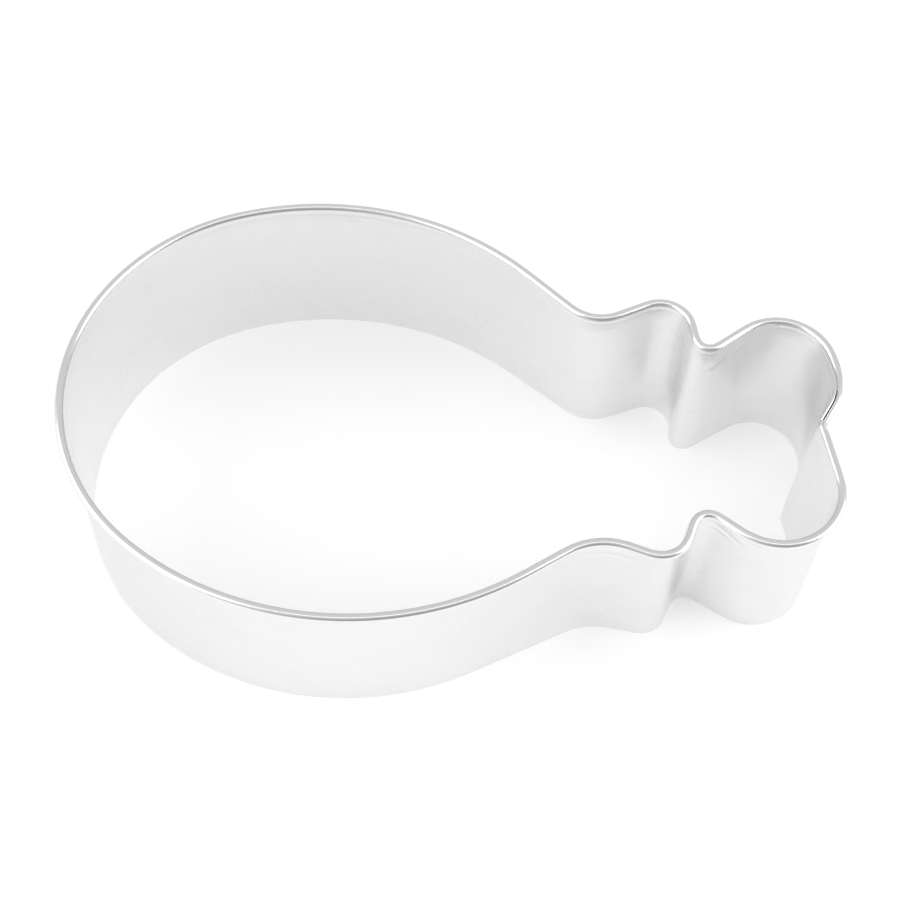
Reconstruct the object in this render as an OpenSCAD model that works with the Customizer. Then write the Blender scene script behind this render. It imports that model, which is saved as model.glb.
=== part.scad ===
// Turkey leg cookie cutter: one strip of tinplate, rolled along its top edge,
// bent on edge round forming pins and lapped at the end of the bone.
// Pins are placed from the centre of the round end of the meat, with the bone towards +X.
// The lower side lies at -Y and the upper side at +Y.

/* [Strip] */
// Height from the cutting edge to the top of the bead
depth = 25.4; // [12:0.2:50]
// Thickness of the sheet
sheet = 0.3; // [0.2:0.02:0.34]
// Outside width of the bead rolled outwards along the top edge
bead = 1.24; // [1.1:0.02:1.4]
// Space between the sheet's rolled edge and the wall under the bead
roll_gap = 0.06; // [0.04:0.01:0.12]

/* [Meat] */
// Radius of the round end
end_radius = 29.4; // [28:0.1:31]
// Radius of the lower flank
lower_flank_radius = 40.8; // [37:0.1:42]
// Radius of the upper flank
upper_flank_radius = 40.9; // [37:0.1:42]
// Angle from the bone to where the round end becomes the lower flank
lower_blend_angle = 129.5; // [120:0.5:134]
// Angle from the bone to where the round end becomes the upper flank
upper_blend_angle = 108.5; // [100:0.5:112]

/* [Neck] */
// Distance to the lower bend between meat and bone
lower_neck_x = 41; // [39.5:0.1:42]
// Sideways distance to the centre of the lower neck bend
lower_neck_y = 29.4; // [28.9:0.1:31]
// Radius of the lower neck bend
lower_neck_radius = 9; // [7:0.1:9.4]
// Distance to the upper bend between meat and bone
upper_neck_x = 41; // [40:0.1:42.2]
// Sideways distance to the centre of the upper neck bend
upper_neck_y = 18.8; // [18.3:0.1:21]
// Radius of the upper neck bend
upper_neck_radius = 5.9; // [5:0.1:6.8]

/* [Cuff] */
// Distance to the lower end of the cuff round the bone
lower_cuff_x = 47.5; // [46.8:0.1:48]
// Sideways distance to the centre of the lower cuff bend
lower_cuff_y = 18.5; // [17.5:0.1:19]
// Radius of the lower cuff bend
lower_cuff_radius = 3.2; // [2:0.1:3.6]
// Distance to the upper end of the cuff round the bone
upper_cuff_x = 49.1; // [48:0.1:49.3]
// Sideways distance to the centre of the upper cuff bend
upper_cuff_y = 12; // [11.5:0.1:12.8]
// Radius of the upper cuff bend
upper_cuff_radius = 3.6; // [2.5:0.1:3.8]

/* [Knuckles] */
// Distance to the lower notch between cuff and knuckle
lower_notch_x = 53.6; // [53.2:0.1:54.4]
// Sideways distance to the centre of the lower notch
lower_notch_y = 18.1; // [17.4:0.1:19]
// Radius of the lower notch
lower_notch_radius = 2.4; // [1.8:0.1:2.6]
// Distance to the upper notch between cuff and knuckle
upper_notch_x = 54.7; // [54.5:0.1:56]
// Sideways distance to the centre of the upper notch
upper_notch_y = 10.3; // [9.5:0.1:10.8]
// Radius of the upper notch
upper_notch_radius = 2; // [1.6:0.1:2.2]
// Distance to the lower knuckle
lower_knuckle_x = 62.7; // [62:0.1:64]
// Sideways distance to the centre of the lower knuckle
lower_knuckle_y = 12.2; // [10.5:0.1:13]
// Radius of the lower knuckle
lower_knuckle_radius = 7.6; // [7:0.1:8.2]
// Distance to the upper knuckle
upper_knuckle_x = 64.6; // [63.5:0.1:65.2]
// Sideways distance to the centre of the upper knuckle
upper_knuckle_y = 6.7; // [5.9:0.1:7.5]
// Radius of the upper knuckle
upper_knuckle_radius = 6.6; // [6:0.1:7.4]
// Distance to the upper knuckle's last bend, under the lap
lap_bend_x = 65.1; // [64.8:0.1:65.8]
// Sideways distance to the centre of the bend under the lap
lap_bend_y = 3.8; // [3.2:0.1:4.6]
// Radius of the bend under the lap
lap_bend_radius = 5.9; // [5.6:0.1:6.6]

/* [Vee and lap] */
// Distance to the vee between the knuckles
vee_x = 69.6; // [69:0.1:71]
// Sideways distance below the meat's centre line to the vee
vee_y = 2.8; // [2.2:0.1:3.6]
// Radius of the vee
vee_radius = 1; // [0.95:0.05:1.4]
// Length over which the strip's two ends lie one inside the other
lap = 5; // [4:0.2:9]
// Width of the inner end's bead, pressed flat against the outer end
pressed_bead = 0.44; // [0.4:0.02:0.6]
// Width of the outer end's bead over the lap
lap_bead = 0.8; // [0.76:0.02:1]
// Length over which the outer end's bead swells back to its full width
swell = 2.5; // [1:0.1:5]

/* [Hidden] */

// Largest gap between a bend and the chords that stand for it
chord_gap = 0.02;
// Length over which a cut end of the sheet drops to the layer beside it
cut_step = 0.05;
// Straight steps round the outside and the inside of the rolled edge
outer_steps = 10;
inner_steps = 5;
// A run shorter than this is no run at all
no_length = 0.001;

inside = 1;
outside = -1;

// A flank's pin shares its tangent with the round end at the blend angle
function flank(radius, blend) =
    let (back = end_radius - radius)
    [back * cos(blend), back * sin(blend), radius, inside];

// Forming pins in the order an anticlockwise strip meets them: x, y, radius, side of the strip
pins = [
    [0, 0, end_radius, inside],
    flank(lower_flank_radius, -lower_blend_angle),
    [lower_neck_x, -lower_neck_y, lower_neck_radius, outside],
    [lower_cuff_x, -lower_cuff_y, lower_cuff_radius, inside],
    [lower_notch_x, -lower_notch_y, lower_notch_radius, outside],
    [lower_knuckle_x, -lower_knuckle_y, lower_knuckle_radius, inside],
    [vee_x, -vee_y, vee_radius, outside],
    [lap_bend_x, lap_bend_y, lap_bend_radius, inside],
    [upper_knuckle_x, upper_knuckle_y, upper_knuckle_radius, inside],
    [upper_notch_x, upper_notch_y, upper_notch_radius, outside],
    [upper_cuff_x, upper_cuff_y, upper_cuff_radius, inside],
    [upper_neck_x, upper_neck_y, upper_neck_radius, outside],
    flank(upper_flank_radius, upper_blend_angle)
];
lower_knuckle = 5;
vee = 6;

count = len(pins);
function next(i) = (i + 1) % count;
function before(i) = (i + count - 1) % count;
function total(v, n) = n == 0 ? 0 : v[n - 1] + total(v, n - 1);

// Direction of the straight run from one pin to the next, along their common tangent
function heading(a, b) =
    let (apart = norm([b.x - a.x, b.y - a.y]), lean = (b[3] * b[2] - a[3] * a[2]) / apart)
    atan2(b.y - a.y, b.x - a.x) - asin(max(-1, min(1, lean)));
headings = [for (i = [0:count - 1]) heading(pins[i], pins[next(i)])];

// Signed angle that the strip turns through on a pin
function turn(i) =
    let (side = pins[i][3], full = side * (headings[i] - headings[before(i)]))
    side * (full - 360 * floor(full / 360));
turns = [for (i = [0:count - 1]) turn(i)];

// Point on a pin where the strip runs in direction h
function touch(i, h) = [
    pins[i].x + pins[i][3] * pins[i][2] * sin(h),
    pins[i].y - pins[i][3] * pins[i][2] * cos(h)
];

bends = [for (i = [0:count - 1]) pins[i][2] * abs(turns[i]) * PI / 180];
runs = [for (i = [0:count - 1]) norm(touch(next(i), headings[i]) - touch(i, headings[i]))];
starts = [for (i = [0:count]) total(bends, i) + total(runs, i)];

// Place on the strip's path at distance d along it: x, y, direction
function place(d) =
    let (
        i = max([for (k = [0:count - 1]) if (starts[k] <= d) k]),
        along = d - starts[i],
        h = headings[before(i)] + turns[i] * min(1, along / bends[i]),
        spot = touch(i, h),
        beyond = max(0, along - bends[i])
    )
    [spot.x + beyond * cos(h), spot.y + beyond * sin(h), h];

// Stations at even angles round each bend; a straight run needs none of its own
function bend_steps(i) = ceil(abs(turns[i]) / (2 * acos(1 - chord_gap / pins[i][2])));
bend_stations = [
    for (i = [0:count - 1])
        let (steps = bend_steps(i), first = runs[before(i)] < no_length ? 1 : 0)
        for (k = [first:steps]) starts[i] + bends[i] * k / steps
];

// The lap runs from the end of the vee to the inner end's cut
lap_start = starts[vee] + bends[vee];
lap_end = lap_start + lap;
stations = [
    for (d = bend_stations) if (d < lap_start) d,
    lap_start,
    lap_start + cut_step,
    for (d = bend_stations) if (d > lap_start + cut_step && d < lap_end - cut_step) d,
    lap_end - cut_step,
    lap_end,
    for (d = bend_stations) if (d > lap_end) d
];

// The lower strip draws in by one sheet round its knuckle, to pass inside the upper one
function draw_in(d) =
    sheet * max(0, min(1, (d - starts[lower_knuckle]) / bends[lower_knuckle]));

// Rolled edge between two sides: round the outside of the roll, or back round its inside
function roll(left, right, inset, steps) =
    let (
        middle = (left + right) / 2,
        half = (right - left) / 2,
        rise = bead / 2,
        last = -acos((left + sheet + roll_gap - middle) / half)
    )
    [for (k = [0:steps])
        let (a = 180 + (last - 180) * k / steps)
        [middle + (half - inset) * cos(a), depth - rise + (rise - inset) * sin(a)]];

function reversed(v) = [for (k = [len(v) - 1:-1:0]) v[k]];

// Section of a single sheet, anticlockwise from the cutting edge: outward distance, height
function single(inner_face, bead_width) =
    concat(
        [[inner_face, 0], [inner_face + sheet, 0]],
        roll(inner_face, inner_face + bead_width, sheet, inner_steps),
        reversed(roll(inner_face, inner_face + bead_width, 0, outer_steps))
    );

// Section of the lap: the inner end's bead pressed flat beside the outer end's bead
groove_points = 4;
function lapped(inner_face) =
    let (
        divide = inner_face + pressed_bead,
        top = depth - sheet / 4,
        bead_side = roll(divide, divide + lap_bead, 0, outer_steps - groove_points + 1)
    )
    concat(
        [[inner_face, 0], [inner_face + 2 * sheet, 0]],
        roll(divide, divide + lap_bead, sheet, inner_steps),
        reversed([for (k = [1:len(bead_side) - 1]) bead_side[k]]),
        [
            [divide, depth - sheet],
            [divide - sheet / 4, top],
            [inner_face + sheet / 2, top],
            [inner_face, depth - sheet]
        ]
    );

function section(d) =
    let (
        upper_face = -sheet / 2,
        lap_face = upper_face - sheet,
        narrow = lap_bead + pressed_bead - sheet,
        grown = max(0, min(1, (d - lap_end) / swell))
    )
    d <= lap_start ? single(upper_face - draw_in(d), bead)
    : d < lap_end ? lapped(lap_face)
    : single(upper_face, narrow + (bead - narrow) * grown);

function ring(d) =
    let (p = place(d))
    [for (q = section(d)) [p.x + q[0] * sin(p.z), p.y - q[0] * cos(p.z), q[1]]];

rings = [for (d = stations) ring(d)];
ring_points = len(rings[0]);
points = [for (r = rings) each r];
middle = [
    (min([for (p = points) p.x]) + max([for (p = points) p.x])) / 2,
    (min([for (p = points) p.y]) + max([for (p = points) p.y])) / 2
];

// Two triangles join each side of the section to the next ring
faces = [
    for (i = [0:len(rings) - 1], k = [0:ring_points - 1])
        let (
            j = (i + 1) % len(rings),
            m = (k + 1) % ring_points,
            a = i * ring_points + k,
            b = i * ring_points + m,
            c = j * ring_points + m,
            e = j * ring_points + k
        )
        each [[a, b, c], [a, c, e]]
];

module cutter_strip() {
    color("lightgray")
        translate([-middle.x, -middle.y, 0])
            polyhedron(points, faces);
}

cutter_strip();
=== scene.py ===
"""Turkey leg cookie cutter: one strip of bright tinplate bent on edge, on a white studio table."""

import math
from collections import namedtuple

import bpy
import numpy as np
from mathutils import Matrix, Vector


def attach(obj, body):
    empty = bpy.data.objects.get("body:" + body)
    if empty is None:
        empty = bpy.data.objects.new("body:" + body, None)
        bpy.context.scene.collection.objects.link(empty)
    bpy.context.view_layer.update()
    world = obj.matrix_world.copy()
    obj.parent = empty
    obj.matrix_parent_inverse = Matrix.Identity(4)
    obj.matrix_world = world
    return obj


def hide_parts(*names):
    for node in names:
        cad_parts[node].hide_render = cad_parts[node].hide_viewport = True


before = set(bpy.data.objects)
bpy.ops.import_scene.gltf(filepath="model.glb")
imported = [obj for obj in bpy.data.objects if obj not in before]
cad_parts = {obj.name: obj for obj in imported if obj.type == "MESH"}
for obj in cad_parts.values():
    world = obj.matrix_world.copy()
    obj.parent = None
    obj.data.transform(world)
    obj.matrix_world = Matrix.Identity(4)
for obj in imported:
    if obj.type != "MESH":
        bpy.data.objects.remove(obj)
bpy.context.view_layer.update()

MM = 0.001

# The strip, in millimetres: its depth, its sheet, its bead and the slit under that, and the lap, with
# the pressed widths of its inner and outer bead and the length over which the bead swells back
DEPTH = 25.4
SHEET = 0.3
BEAD = 1.24
ROLL_GAP = 0.06
LAP = 5
PRESSED_BEAD = 0.44
LAP_BEAD = 0.8
SWELL = 2.5

# Forming pins, in millimetres from the centre of the meat's round end, with the bone towards +X.
# The strip meets them anticlockwise; side is 1 for a pin inside the strip and -1 for one outside.
Pin = namedtuple("Pin", "x y radius side")
PINS = {
    "lower_neck": Pin(41, -29.4, 9, -1),
    "lower_cuff": Pin(47.5, -18.5, 3.2, 1),
    "lower_notch": Pin(53.6, -18.1, 2.4, -1),
    "lower_knuckle": Pin(62.7, -12.2, 7.6, 1),
    "vee": Pin(69.6, -2.8, 1, -1),
    "lap_bend": Pin(65.1, 3.8, 5.9, 1),
    "upper_knuckle": Pin(64.6, 6.7, 6.6, 1),
    "upper_notch": Pin(54.7, 10.3, 2, -1),
    "upper_cuff": Pin(49.1, 12, 3.6, 1),
    "upper_neck": Pin(41, 18.8, 5.9, -1),
}
END_RADIUS = 29.4
LOWER_FLANK_RADIUS = 40.8
UPPER_FLANK_RADIUS = 40.9
LOWER_BLEND_ANGLE = 129.5
UPPER_BLEND_ANGLE = 108.5

# The strip is bent by hand, so its bead doesn't lie quite over its cutting edge. At the bead each
# bend is moved (x, y) and widened by this much, and at the cutting edge as much the other way.
LEAN = {
    "lower_neck": (-0.50, -0.06, 0.0),
    "lower_cuff": (-0.15, -0.41, 0.05),
    "lower_notch": (-0.10, -0.32, 0.06),
    "lower_knuckle": (-0.20, -0.04, 0.31),
    "vee": (0.17, -0.05, 0.0),
    "lap_bend": (0.26, 0.06, 0.28),
    "upper_knuckle": (-0.26, -0.17, 0.0),
    "upper_notch": (0.22, 0.10, 0.19),
    "upper_cuff": (-0.35, -0.13, 0.11),
    "upper_neck": (-0.51, -0.16, 0.09),
}
END_LEAN = (0.07, 0.28, 0.07)
LOWER_FLANK_LEAN = 0.83
UPPER_FLANK_LEAN = -0.89


def bends(lean):
    """The pins where the lean is -1 at the cutting edge, 0 half way up and 1 at the bead."""
    end = Pin(lean * END_LEAN[0], lean * END_LEAN[1], END_RADIUS + lean * END_LEAN[2], 1)

    def flank(radius, blend_angle):
        """A flank's pin shares its tangent with the round end at the blend angle."""
        back = end.radius - radius
        angle = math.radians(blend_angle)
        return Pin(end.x + back * math.cos(angle), end.y + back * math.sin(angle), radius, 1)

    leaning = {"end": end, "lower_flank": flank(LOWER_FLANK_RADIUS + lean * LOWER_FLANK_LEAN,
                                                -LOWER_BLEND_ANGLE)}
    for name, pin in PINS.items():
        x, y, wider = LEAN[name]
        leaning[name] = Pin(pin.x + lean * x, pin.y + lean * y, pin.radius + lean * wider, pin.side)
    leaning["upper_flank"] = flank(UPPER_FLANK_RADIUS + lean * UPPER_FLANK_LEAN, UPPER_BLEND_ANGLE)
    return leaning


# How far apart the strip's sections are, in millimetres: on gentle bends, on tight ones, along the
# lap and LAP_MARGIN more at each end of it, and at its two cut ends. A bend is gentle above
# GENTLE_RADIUS, and the strip turns by no more than WIDEST_TURN from one section to the next.
GENTLE_RADIUS = 20
GENTLE_STEP = 0.9
TIGHT_STEP = 0.4
WIDEST_TURN = math.radians(4)
LAP_STEP = 0.3
LAP_MARGIN = 2
CUT_STEP = 0.05
# A straight run shorter than this counts as this long
SHORTEST_RUN = 1e-6


class StripPath:
    """The strip's path: bends round the pins, joined by straight runs along common tangents."""

    def __init__(self, pins):
        self.names = list(pins)
        self.pins = list(pins.values())
        count = len(self.pins)
        self.heading = [self.run_heading(self.pins[i], self.pins[(i + 1) % count])
                        for i in range(count)]
        self.turn = [self.signed_turn(i) for i in range(count)]
        self.bend = [p.radius * abs(t) for p, t in zip(self.pins, self.turn)]
        self.run = [math.dist(self.touch(i, h), self.touch((i + 1) % count, h))
                    for i, h in enumerate(self.heading)]
        lengths = [b + r for b, r in zip(self.bend, self.run)]
        self.start = np.concatenate([[0], np.cumsum(lengths)])

    @staticmethod
    def run_heading(a, b):
        """Heading of the straight run from pin a to pin b."""
        apart = math.dist((a.x, a.y), (b.x, b.y))
        slant = (b.side * b.radius - a.side * a.radius) / apart
        return math.atan2(b.y - a.y, b.x - a.x) - math.asin(max(-1, min(1, slant)))

    def signed_turn(self, i):
        """How far the strip turns round pin i, to the left if positive."""
        side = self.pins[i].side
        return side * ((side * (self.heading[i] - self.heading[i - 1])) % math.tau)

    def touch(self, i, heading):
        """Where the strip touches pin i while it has this heading."""
        pin = self.pins[i % len(self.pins)]
        reach = pin.side * pin.radius
        return pin.x + reach * math.sin(heading), pin.y - reach * math.cos(heading)

    def begins(self, name):
        """Distance along the strip at which the bend of this name begins."""
        return self.start[self.names.index(name)]

    def ends(self, name):
        """Distance along the strip at which the bend of this name ends."""
        i = self.names.index(name)
        return self.start[i] + self.bend[i]

    def locate(self, d):
        """The bend at or before distance d, and the shares of it and of its run that d has passed."""
        i = min(int(np.searchsorted(self.start, d, side="right")) - 1, len(self.pins) - 1)
        along = d - self.start[i]
        beyond = max(0, along - self.bend[i])
        return i, min(1, along / self.bend[i]), min(1, beyond / max(self.run[i], SHORTEST_RUN))

    def place(self, i, bend_share, run_share):
        """x, y and heading at a place given by locate."""
        heading = self.heading[i - 1] + self.turn[i] * bend_share
        x, y = self.touch(i, heading)
        beyond = self.run[i] * run_share
        return np.array([x + beyond * math.cos(heading), y + beyond * math.sin(heading), heading])

    def stations(self):
        """Distances along the strip, closer together where its bends are tight."""
        found = []
        for i, pin in enumerate(self.pins):
            longest = GENTLE_STEP if pin.radius > GENTLE_RADIUS else TIGHT_STEP
            bend_steps = math.ceil(max(self.bend[i] / longest, abs(self.turn[i]) / WIDEST_TURN))
            run_steps = math.ceil(self.run[i] / longest)
            found += list(self.start[i] + self.bend[i] * np.arange(bend_steps) / bend_steps)
            if self.run[i] > CUT_STEP:
                run_start = self.start[i] + self.bend[i]
                found += list(run_start + self.run[i] * np.arange(run_steps) / run_steps)
        return found


path = StripPath(bends(0))
LAP_START = path.ends("vee")
LAP_END = LAP_START + LAP


def smooth(t):
    """Passes softly from 0 to 1 as t does."""
    t = np.clip(t, 0, 1)
    return t * t * (3 - 2 * t)


def hump(t):
    """A round hump: 1 at t = 0, and almost 0 beyond 3 on either side."""
    return np.exp(-t * t / 2)


# A bent sheet passes gradually from each bend into the next run, so each point of the line is the
# mean of its neighbours under a hump of width EASE, out to EASE_REACH times that. The folded vee
# stays as drawn for VEE_SHARP times VEE_REACH on each side, and then eases off over VEE_REACH.
EASE = 0.65
EASE_REACH = 3
EASE_STEP = 0.1
VEE_REACH = 4.0
VEE_SHARP = 0.25


class EasedLine:
    """The line that the strip's cutting edge or bead follows, by distance along the strip."""

    def __init__(self, bent):
        count = round(path.start[-1] / EASE_STEP)
        self.d = np.arange(count) * path.start[-1] / count
        drawn = np.array([bent.place(*path.locate(d))[:2] for d in self.d])
        reach = math.ceil(EASE_REACH * EASE / EASE_STEP)
        weights = hump(np.arange(-reach, reach + 1) * EASE_STEP / EASE)
        round_again = np.concatenate([drawn[-reach:], drawn, drawn[:reach]])
        eased = np.stack([np.convolve(c, weights / weights.sum(), "valid") for c in round_again.T], 1)
        vee = (path.begins("vee") + path.ends("vee")) / 2
        share = smooth(np.abs(self.d - vee) / VEE_REACH - VEE_SHARP)[:, None]
        line = drawn + (eased - drawn) * share
        step = np.roll(line, -1, 0) - np.roll(line, 1, 0)
        self.x, self.y = line.T
        self.heading = np.unwrap(np.arctan2(step[:, 1], step[:, 0]))

    def place(self, d):
        """x, y and heading at distance d."""
        return np.array([np.interp(d, self.d, self.x, period=path.start[-1]),
                         np.interp(d, self.d, self.y, period=path.start[-1]),
                         np.interp(d, self.d, self.heading)])


edge_line = EasedLine(StripPath(bends(-1)))
bead_line = EasedLine(StripPath(bends(1)))


# Section of the strip: outward distance from the path and height, anticlockwise from the cutting
# edge. Its points are closer together where the ripples are, and closer still on the flare.
BEAD_FOOT = DEPTH - BEAD / 2
RIPPLES_FOOT = BEAD_FOOT - 5
FLARE_FOOT = BEAD_FOOT - 1.8
PLAIN_POINTS = 17
RIPPLED_POINTS = 25
FLARED_POINTS = 15
EDGE_ROUND = 0.05
WALL_HEIGHTS = np.concatenate([np.linspace(EDGE_ROUND, RIPPLES_FOOT, PLAIN_POINTS)[:-1],
                               np.linspace(RIPPLES_FOOT, FLARE_FOOT, RIPPLED_POINTS)[:-1],
                               np.linspace(FLARE_FOOT, BEAD_FOOT, FLARED_POINTS)])
ROLL_STEPS = 30
ROLL_INNER_STEPS = 12
# Over the lap the outer sheet leans outwards in its uppermost PRESS_HEIGHT, which makes room for the
# inner bead. The bead is pressed narrower over PRESS_LENGTH before the lap.
PRESS_HEIGHT = 3.0
PRESS_LENGTH = 2.0
# The lap's inner bead stands HEM_DROP lower than the outer one, with a groove HEM_GAP wide between
HEM_GAP = 0.06
HEM_DROP = 0.02
GROOVE_FOOT = BEAD_FOOT + 0.02
HEM_STEPS = 8


def roll(left, right, inset, steps):
    """Points round the rolled edge between two sides, from the wall over the top and under."""
    middle = (left + right) / 2
    half = (right - left) / 2
    rise = BEAD / 2
    last = -math.acos((left + SHEET + ROLL_GAP - middle) / half)
    a = np.linspace(math.pi, last, steps + 1)
    across, up = half - inset, rise - inset
    return np.stack([middle + across * np.cos(a), DEPTH - rise + up * np.sin(a)], 1)


# Marks of the roller and of the hand, in millimetres. The wall leaves the rolled edge with a soft
# flare and comes back to its plain place at the cutting edge. A fine crease runs below the bead.
FLARE_HEIGHT = 2.2
FLARE = 0.2
CREASE_DEPTH = 0.022
CREASE_HEIGHT = 0.85
CREASE_WIDTH = 0.16

# Faint waves over the whole strip: their depth, how many go round the cutter and where they begin,
# how fast they turn over the height and where that begins. They and the dents fade out over
# MARKS_FADE at either edge.
Wave = namedtuple("Wave", "depth round start rising foot_start")
WAVES = [
    Wave(0.02, 17, 0.6, 0.21, 0.4),
    Wave(0.012, 31, 2.1, 0.33, 1.9),
    Wave(0.006, 53, 0.9, 0.52, 0.0),
]
MARKS_FADE = 1.5

# Ripples along the strip. Their drop is counted down from the bead's foot, their fall is along the
# strip, and their depth is inwards. RIPPLE_TAPER lets each fade to a third at its half length.
Ripple = namedtuple("Ripple", "middle half_length drop fall half_width depth")
RIPPLES = [
    Ripple(path.begins("lower_neck") + 5.0, 4.6, 2.2, 0.0, 0.22, 0.13),
    Ripple(path.begins("lower_neck") + 5.6, 4.0, 4.0, 0.0, 0.24, 0.12),
    Ripple(path.ends("lower_notch") + 3.9, 2.8, 2.25, 0.38, 0.26, 0.20),
    Ripple(path.ends("lower_notch") + 1.9, 2.8, 3.5, 0.3, 0.24, 0.15),
    Ripple(path.ends("lower_notch") + 0.2, 1.8, 4.4, 0.1, 0.22, 0.11),
    Ripple(path.begins("upper_notch") - 1.2, 1.9, 2.6, 0.6, 0.34, -0.26),
    Ripple(path.begins("upper_notch") - 3.6, 1.5, 3.8, 0.7, 0.34, -0.16),
    Ripple(path.begins("lower_flank") + 21, 9.0, 3.4, 0.0, 0.28, 0.014),
    Ripple(path.begins("upper_flank") + 16, 12.0, 3.0, 0.0, 0.28, 0.01),
]
RIPPLE_TAPER = 1.5

# Soft dents. Their slant is how far they shift along the strip over their half height, and their
# depth is outwards.
Dent = namedtuple("Dent", "middle height half_length half_height slant depth")
DENTS = [
    Dent(path.ends("upper_knuckle") + 0.3, 15.2, 0.7, 2.0, 0.0, 0.08),
    Dent(path.ends("upper_knuckle") - 1.0, 4.0, 2.6, 2.4, 0.0, -0.05),
    Dent(path.ends("lower_notch") + 1.3, 7.0, 0.5, 5.0, -0.6, 0.05),
    Dent(path.begins("lower_flank") + 8.0, 12.0, 5.0, 6.0, 2.0, 0.05),
    Dent(path.begins("upper_flank") + 24.0, 13.0, 6.0, 6.0, -2.0, -0.05),
]

# Spot welds through the lap: distance past the vee and height. Each dimple has a flat middle.
WELDS = [(2.3, 5.5), (2.5, 16.5)]
WELD_FLAT_RADIUS = 0.45
WELD_RADIUS = 0.95
WELD_DEPTH = 0.06


def wall_marks(d, z):
    """How far outwards the wall lies from its plain place, at distance d and heights z."""
    below = BEAD_FOOT - z
    faded = smooth(below / MARKS_FADE) * smooth(z / MARKS_FADE)
    flare = FLARE * smooth(below / FLARE_HEIGHT) * smooth(z / (BEAD_FOOT - FLARE_HEIGHT))
    out = -flare - CREASE_DEPTH * hump((below - CREASE_HEIGHT) / CREASE_WIDTH)
    turns = math.tau * d / path.start[-1]
    for wave in WAVES:
        along = math.sin(wave.round * turns + wave.start)
        out = out + faded * wave.depth * along * np.sin(wave.rising * z + wave.foot_start)
    for ripple in RIPPLES:
        past = d - ripple.middle
        across = (below - ripple.drop - ripple.fall * past) / ripple.half_width
        out = out - ripple.depth * hump(RIPPLE_TAPER * past / ripple.half_length) * hump(across)
    for dent in DENTS:
        up = (z - dent.height) / dent.half_height
        along = (d - dent.middle - dent.slant * up) / dent.half_length
        out = out + faded * dent.depth * hump(along) * hump(up)
    return out


def weld_marks(d, z):
    """Depth of the spot welds' dimples in either face of the lap."""
    pressed = np.zeros_like(z)
    for along, height in WELDS:
        away = np.hypot(d - LAP_START - along, z - height)
        risen = smooth((away - WELD_FLAT_RADIUS) / (WELD_RADIUS - WELD_FLAT_RADIUS))
        pressed = pressed + WELD_DEPTH * (1 - risen)
    return pressed


def section(d):
    """Section at distance d: a single sheet, or the two pressed ends over the lap."""
    upper_face = -SHEET / 2
    inner_face, outer_face = upper_face, SHEET / 2
    if LAP_START < d < LAP_END:
        inner_face = upper_face - SHEET
        left = inner_face + PRESSED_BEAD
        right = left + LAP_BEAD
    elif d <= LAP_START:
        knuckle = path.begins("lower_knuckle")
        drawn_in = (d - knuckle) / (path.ends("lower_knuckle") - knuckle)
        inner_face = upper_face - SHEET * float(np.clip(drawn_in, 0, 1))
        outer_face = inner_face + SHEET
        pressed = float(smooth(1 - (LAP_START - d) / PRESS_LENGTH))
        left, right = inner_face, inner_face + BEAD - (BEAD - LAP_BEAD) * pressed
    else:
        grown = min(1, (d - LAP_END) / SWELL)
        narrow = LAP_BEAD + PRESSED_BEAD - SHEET
        left, right = inner_face, inner_face + narrow + (BEAD - narrow) * grown
    z = WALL_HEIGHTS
    marks = wall_marks(d, z)
    dimple = weld_marks(d, z)
    crimp = (left + SHEET - outer_face) * smooth((z - (BEAD_FOOT - PRESS_HEIGHT)) / PRESS_HEIGHT)
    foot_shift = marks[0]
    foot = np.array([[inner_face + foot_shift, EDGE_ROUND], [inner_face + foot_shift + EDGE_ROUND, 0],
                     [outer_face + foot_shift - EDGE_ROUND, 0], [outer_face + foot_shift, EDGE_ROUND]])
    outer_wall = np.stack([outer_face + crimp + marks - dimple, z], 1)[1:-1]
    inner_wall = np.stack([inner_face + marks + dimple, z], 1)[1:-1][::-1]
    inside = roll(left, right, SHEET, ROLL_INNER_STEPS)
    outside = roll(left, right, 0, ROLL_STEPS)[::-1]
    if LAP_START < d < LAP_END:
        half = (PRESSED_BEAD - HEM_GAP) / 2
        a = np.linspace(0, math.pi, HEM_STEPS + 1)
        hem_middle = DEPTH - HEM_DROP - half
        hem = np.stack([inner_face + half + half * np.cos(a), hem_middle + half * np.sin(a)], 1)
        groove = np.array([[left - HEM_GAP / 2, GROOVE_FOOT]])
        bead_side = roll(left, right, 0, ROLL_STEPS - len(hem))[1:][::-1]
        outside = np.concatenate([bead_side, groove, hem])
    return np.concatenate([foot, outer_wall, inside, outside, inner_wall])


def strip_stations():
    """Distances of the sections along the strip, two of them close together at each end of the lap."""
    cuts = [LAP_START, LAP_START + CUT_STEP, LAP_END - CUT_STEP, LAP_END]
    in_lap = list(np.arange(LAP_START - LAP_MARGIN, LAP_END + LAP_MARGIN, LAP_STEP))
    apart = 2 * CUT_STEP
    clear = [d for d in path.stations() if d < in_lap[0] - apart or d > in_lap[-1] + apart]
    clear += [d for d in in_lap if all(abs(d - c) > apart for c in cuts)]
    return sorted(clear + cuts)


# Faces that meet at more than this have a sharp edge between them
SHARP_ANGLE = math.radians(40)


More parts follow.
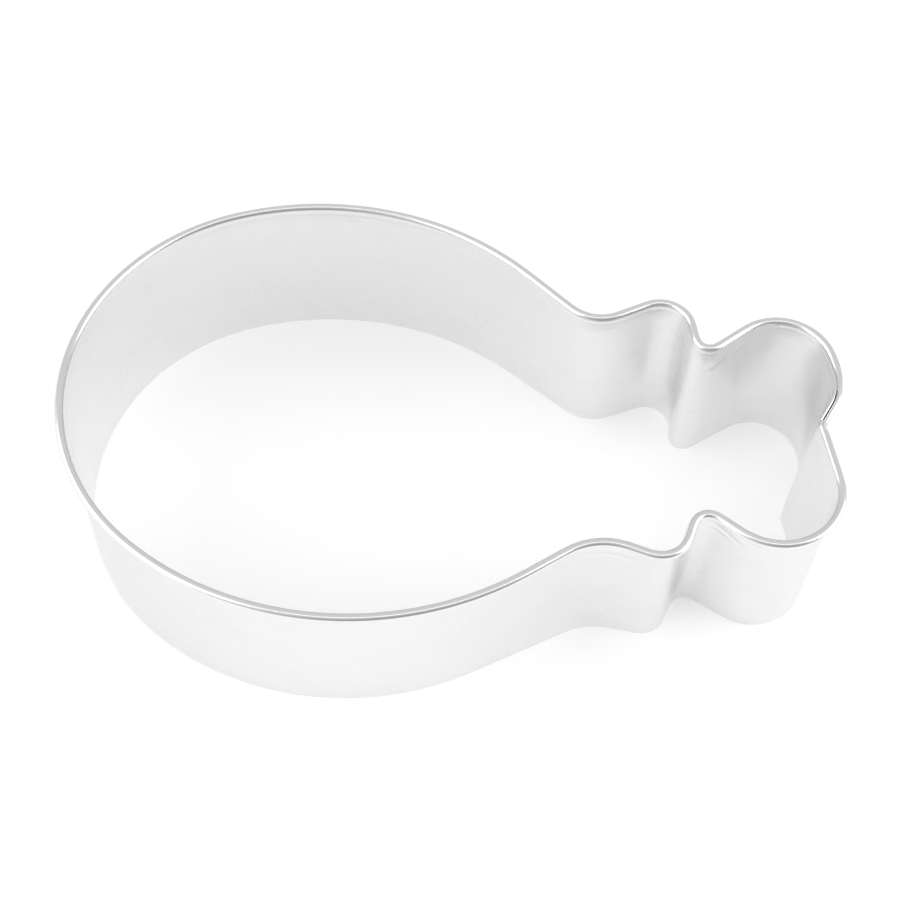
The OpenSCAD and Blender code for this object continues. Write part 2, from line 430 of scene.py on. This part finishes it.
def build_strip():
    """Sweeps the section along the path into one closed mesh, centred as the CAD strip is."""
    rings = []
    places = []
    outline = []
    for d in strip_stations():
        out, up = section(d).T
        rise = np.clip(up / BEAD_FOOT, 0, 1)[:, None]
        x, y, heading = (edge_line.place(d) * (1 - rise) + bead_line.place(d) * rise).T
        rings.append(np.stack([x + out * np.sin(heading), y - out * np.cos(heading), up], 1))
        places.append(np.stack([np.full(len(out), d), out, up], 1))
        x, y, heading = path.place(*path.locate(d))
        reach = out.max()
        outline.append((x + reach * math.sin(heading), y - reach * math.cos(heading)))
    points = np.concatenate(rings)
    centre = (np.min(outline, 0) + np.max(outline, 0)) / 2
    points[:, :2] -= centre
    ring_points = len(rings[0])
    faces = []
    for i in range(len(rings)):
        here = i * ring_points
        there = (i + 1) % len(rings) * ring_points
        for k in range(ring_points):
            m = (k + 1) % ring_points
            faces.append((here + k, there + k, there + m, here + m))
    mesh = bpy.data.meshes.new("cutter_strip_fine")
    mesh.from_pydata((points * MM).tolist(), [], faces)
    mesh.validate()
    mesh.shade_smooth()
    mesh.set_sharp_from_angle(angle=SHARP_ANGLE)
    on_strip = mesh.attributes.new("on_strip", "FLOAT_VECTOR", "POINT")
    on_strip.data.foreach_set("vector", (np.concatenate(places) * MM).astype(np.float32).ravel())
    strip = bpy.data.objects.new("tinplate_strip", mesh)
    bpy.context.scene.collection.objects.link(strip)
    return strip, centre


class Socket:
    """A shader socket that adds Math nodes when Python operators are used on it."""

    def __init__(self, tree, link):
        self.tree = tree
        self.link = link

    def math(self, operation, *values):
        """The result of one Math node on these values."""
        return add_node(self.tree, "ShaderNodeMath", {"operation": operation}, dict(enumerate(values)))

    def __add__(self, other):
        return self.math("ADD", self, other)

    def __sub__(self, other):
        return self.math("SUBTRACT", self, other)

    def __mul__(self, other):
        return self.math("MULTIPLY", self, other)

    def __rsub__(self, other):
        return self.math("SUBTRACT", other, self)

    __radd__ = __add__
    __rmul__ = __mul__


def add_node(tree, kind, settings=None, inputs=None, output=0):
    """Adds a node with its settings, then sets or links its inputs, and returns one output."""
    node = tree.nodes.new(kind)
    for name, value in (settings or {}).items():
        setattr(node, name, value)
    for name, value in (inputs or {}).items():
        if isinstance(value, Socket):
            tree.links.new(value.link, node.inputs[name])
        else:
            node.inputs[name].default_value = value
    return Socket(tree, node.outputs[output]) if node.outputs else None


def new_material(name):
    """A material with an empty node tree, and that tree."""
    material = bpy.data.materials.new(name)
    material.use_nodes = True
    tree = material.node_tree
    tree.nodes.clear()
    return material, tree


# The tinplate: its two greys between the clouds, its roughness, how much the grain and the clouds
# change that, how much smoother the rolled edge is and how much duller the cut one
TIN_GREY = (0.812, 0.812, 0.813, 1.0)
TIN_PALE = (0.858, 0.857, 0.856, 1.0)
SHEET_ROUGHNESS = 0.29
GRAIN_ROUGHNESS = 0.08
CLOUD_ROUGHNESS = 0.06
BURNISHED_SMOOTHNESS = 0.1
CUT_EDGE_DULLNESS = 0.12
BURNISHED_FROM = BEAD_FOOT - 0.6
CUT_EDGE_HEIGHT = 0.25
# How many times the grain and the clouds change in a metre along the strip, through it and up it,
# and how many finer layers each has
GRAIN_SCALE = (120.0, 3000.0, 9000.0)
GRAIN_DETAIL = 3.0
CLOUD_SCALE = (110.0, 400.0, 160.0)
CLOUD_DETAIL = 2.0


def bright_tinplate():
    """Bright tinplate with faint lengthwise grain, smooth on the rolled edge and dull at the cut one."""
    material, tree = new_material("bright_tinplate")
    where = add_node(tree, "ShaderNodeAttribute", {"attribute_name": "on_strip"}, output=1)
    height = add_node(tree, "ShaderNodeSeparateXYZ", None, {"Vector": where}, output="Z")

    def noise(scale, detail):
        """Soft noise from 0 to 1, stretched by the scale."""
        stretched = add_node(tree, "ShaderNodeVectorMath", {"operation": "MULTIPLY"},
                             {0: where, 1: scale})
        return add_node(tree, "ShaderNodeTexNoise", None,
                        {"Vector": stretched, "Scale": 1.0, "Detail": detail})

    def risen(low, high):
        """0 below the low height and 1 above the high one, in millimetres."""
        return add_node(tree, "ShaderNodeMapRange", {"interpolation_type": "SMOOTHSTEP"},
                        {"Value": height, "From Min": low * MM, "From Max": high * MM, "To Min": 0.0,
                         "To Max": 1.0})

    grain = noise(GRAIN_SCALE, GRAIN_DETAIL)
    clouds = noise(CLOUD_SCALE, CLOUD_DETAIL)
    burnished = risen(BURNISHED_FROM, BEAD_FOOT)
    cut_edge = 1 - risen(0.0, CUT_EDGE_HEIGHT)
    tin = add_node(tree, "ShaderNodeMix", {"data_type": "RGBA"},
                   {0: clouds, 6: TIN_GREY, 7: TIN_PALE}, output=2)
    rolled = SHEET_ROUGHNESS + (grain - 0.5) * GRAIN_ROUGHNESS + (clouds - 0.5) * CLOUD_ROUGHNESS
    shader = add_node(tree, "ShaderNodeBsdfPrincipled", None, {
        "Base Color": tin,
        "Metallic": 1.0,
        "Roughness": rolled - BURNISHED_SMOOTHNESS * burnished + CUT_EDGE_DULLNESS * cut_edge,
    })
    add_node(tree, "ShaderNodeOutputMaterial", None, {"Surface": shader})
    return material


# The table top: half its width in metres, how much light it sends back, and how much it gives from
# below. In a soft patch inside the bone it gives painted light, which lifts the shade where the walls
# keep the tent's light off it.
TABLE_HALF = 3.0
TABLE_WHITE = 0.64
TABLE_ROUGHNESS = 0.9
TABLE_GLOW = 0.40
PAINTED_LIGHT_PATCH_GLOW = 0.48
PAINTED_LIGHT_PATCH_CENTRE = (0.033, 0.0)
PAINTED_LIGHT_PATCH_REACH = (0.034, 0.021)


def white_table():
    """A broad table top of white acrylic, lit softly from below and without sheen, with painted light in
    the bone.
    """
    material, tree = new_material("white_acrylic")
    spot = add_node(tree, "ShaderNodeTexCoord", output="Object")
    from_painted_light_patch = add_node(tree, "ShaderNodeVectorMath", {"operation": "SUBTRACT"},
                          {0: spot, 1: (*PAINTED_LIGHT_PATCH_CENTRE, 0.0)})
    in_reaches = add_node(tree, "ShaderNodeVectorMath", {"operation": "DIVIDE"},
                          {0: from_painted_light_patch, 1: (*PAINTED_LIGHT_PATCH_REACH, 1.0)})
    away = add_node(tree, "ShaderNodeVectorMath", {"operation": "LENGTH"}, {0: in_reaches},
                    output="Value")
    # painted light: the glow rises in a soft patch inside the bone to lift the walls' shade there
    painted_light_patch = add_node(tree, "ShaderNodeMapRange", {"interpolation_type": "SMOOTHSTEP"},
                     {"Value": away, "From Min": 0.0, "From Max": 1.0, "To Min": 1.0, "To Max": 0.0})
    glow = add_node(tree, "ShaderNodeMix", {"data_type": "RGBA"}, {
        0: painted_light_patch, 6: (TABLE_GLOW, TABLE_GLOW, TABLE_GLOW, 1.0),
        7: (PAINTED_LIGHT_PATCH_GLOW, PAINTED_LIGHT_PATCH_GLOW, PAINTED_LIGHT_PATCH_GLOW, 1.0)}, output=2)
    shader = add_node(tree, "ShaderNodeBsdfPrincipled", None, {
        "Base Color": (TABLE_WHITE, TABLE_WHITE, TABLE_WHITE, 1.0),
        "Roughness": TABLE_ROUGHNESS,
        "Specular IOR Level": 0.0,
        "Emission Color": glow,
        "Emission Strength": 1.0,
    })
    add_node(tree, "ShaderNodeOutputMaterial", None, {"Surface": shader})
    mesh = bpy.data.meshes.new("table")
    corners = [(-TABLE_HALF, -TABLE_HALF, 0), (TABLE_HALF, -TABLE_HALF, 0),
               (TABLE_HALF, TABLE_HALF, 0), (-TABLE_HALF, TABLE_HALF, 0)]
    mesh.from_pydata(corners, [], [(0, 1, 2, 3)])
    table = bpy.data.objects.new("table", mesh)
    bpy.context.scene.collection.objects.link(table)
    mesh.materials.append(material)


# Brightness of the tent at the table, how much it rises to the top, and how much less it is at the
# opening where the camera looks in: which way that lies, and the cosine at which it begins
TENT = 0.66
TENT_RISE = 0.08
TENT_OPENING = 0.3
OPENING_TOWARDS = (0.34, -0.9, 0.26)
OPENING_BEGINS = 0.55
SOFTBOX_DISTANCE = 1.0


def softbox(name, azimuth, elevation, width, height, radiance):
    """A softbox facing the cutter; azimuth is counted in degrees from straight behind to the right."""
    light = bpy.data.lights.new(name, "AREA")
    light.shape = "RECTANGLE"
    light.size = width
    light.size_y = height
    light.energy = radiance * math.pi * width * height
    holder = bpy.data.objects.new(name, light)
    around, up = math.radians(azimuth), math.radians(elevation)
    away = Vector((math.sin(around) * math.cos(up), math.cos(around) * math.cos(up), math.sin(up)))
    facing = away.to_track_quat("Z", "Y").to_matrix().to_4x4()
    holder.matrix_world = Matrix.Translation(away * SOFTBOX_DISTANCE) @ facing
    holder.visible_camera = False
    bpy.context.scene.collection.objects.link(holder)


def studio_light():
    """A pale tent, darker on the camera's side, with a softbox at each hand and a strip overhead."""
    world = bpy.data.worlds.new("tent")
    bpy.context.scene.world = world
    world.use_nodes = True
    tree = world.node_tree
    tree.nodes.clear()
    direction = add_node(tree, "ShaderNodeTexCoord", output="Generated")
    towards_camera = add_node(tree, "ShaderNodeVectorMath", {"operation": "DOT_PRODUCT"},
                              {0: direction, 1: OPENING_TOWARDS}, output="Value")
    opening = add_node(tree, "ShaderNodeMapRange", {"interpolation_type": "SMOOTHSTEP"},
                       {"Value": towards_camera, "From Min": OPENING_BEGINS, "From Max": 1.0,
                        "To Min": 0.0, "To Max": 1.0})
    height = add_node(tree, "ShaderNodeSeparateXYZ", None, {"Vector": direction}, output="Z")
    background = add_node(tree, "ShaderNodeBackground", None,
                          {"Color": (1.0, 1.0, 1.0, 1.0),
                           "Strength": TENT + TENT_RISE * height - TENT_OPENING * opening})
    add_node(tree, "ShaderNodeOutputWorld", None, {"Surface": background})
    softbox("left_softbox", azimuth=-103, elevation=32, width=1.25, height=1.0, radiance=1.25)
    softbox("top_strip", azimuth=180, elevation=77, width=1.1, height=0.12, radiance=1.25)
    softbox("right_softbox", azimuth=95, elevation=32, width=0.75, height=0.8, radiance=2.6)


# The photograph's camera: its place in millimetres from the centre of the meat's round end, how far
# it looks down, how far it is turned about its own line of sight, and its focal length
CAMERA_PLACE = Vector((20.938, -120.869, 208.334))
CAMERA_TILT = math.radians(58.467)
CAMERA_ROLL = math.radians(1.807)
FOCAL_PIXELS = 1689.05
IMAGE_WIDTH = 900
SENSOR_WIDTH = 36
CLIP_START = 0.001


def photo_camera(centre):
    """The photograph's camera, moved as the strip is when its outline's centre goes to the origin."""
    place = (CAMERA_PLACE - Vector((*centre, 0))) * MM
    forward = Vector((0, math.cos(CAMERA_TILT), -math.sin(CAMERA_TILT)))
    right = Vector((1, 0, 0))
    up = Vector((0, math.sin(CAMERA_TILT), math.cos(CAMERA_TILT)))
    turned_right = math.cos(CAMERA_ROLL) * right + math.sin(CAMERA_ROLL) * up
    turned_up = -math.sin(CAMERA_ROLL) * right + math.cos(CAMERA_ROLL) * up
    camera = bpy.data.cameras.new("camera")
    camera.sensor_width = SENSOR_WIDTH
    camera.lens = FOCAL_PIXELS / IMAGE_WIDTH * SENSOR_WIDTH
    camera.clip_start = CLIP_START
    holder = bpy.data.objects.new("camera", camera)
    turn = Matrix((turned_right, turned_up, -forward)).transposed()
    holder.matrix_world = Matrix.Translation(place) @ turn.to_4x4()
    bpy.context.scene.collection.objects.link(holder)
    bpy.context.scene.camera = holder


strip, outline_centre = build_strip()
strip.data.materials.append(bright_tinplate())
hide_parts("cutter_strip")
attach(strip, "root")

white_table()
studio_light()
photo_camera(outline_centre)
bpy.context.scene.view_settings.view_transform = "Standard"
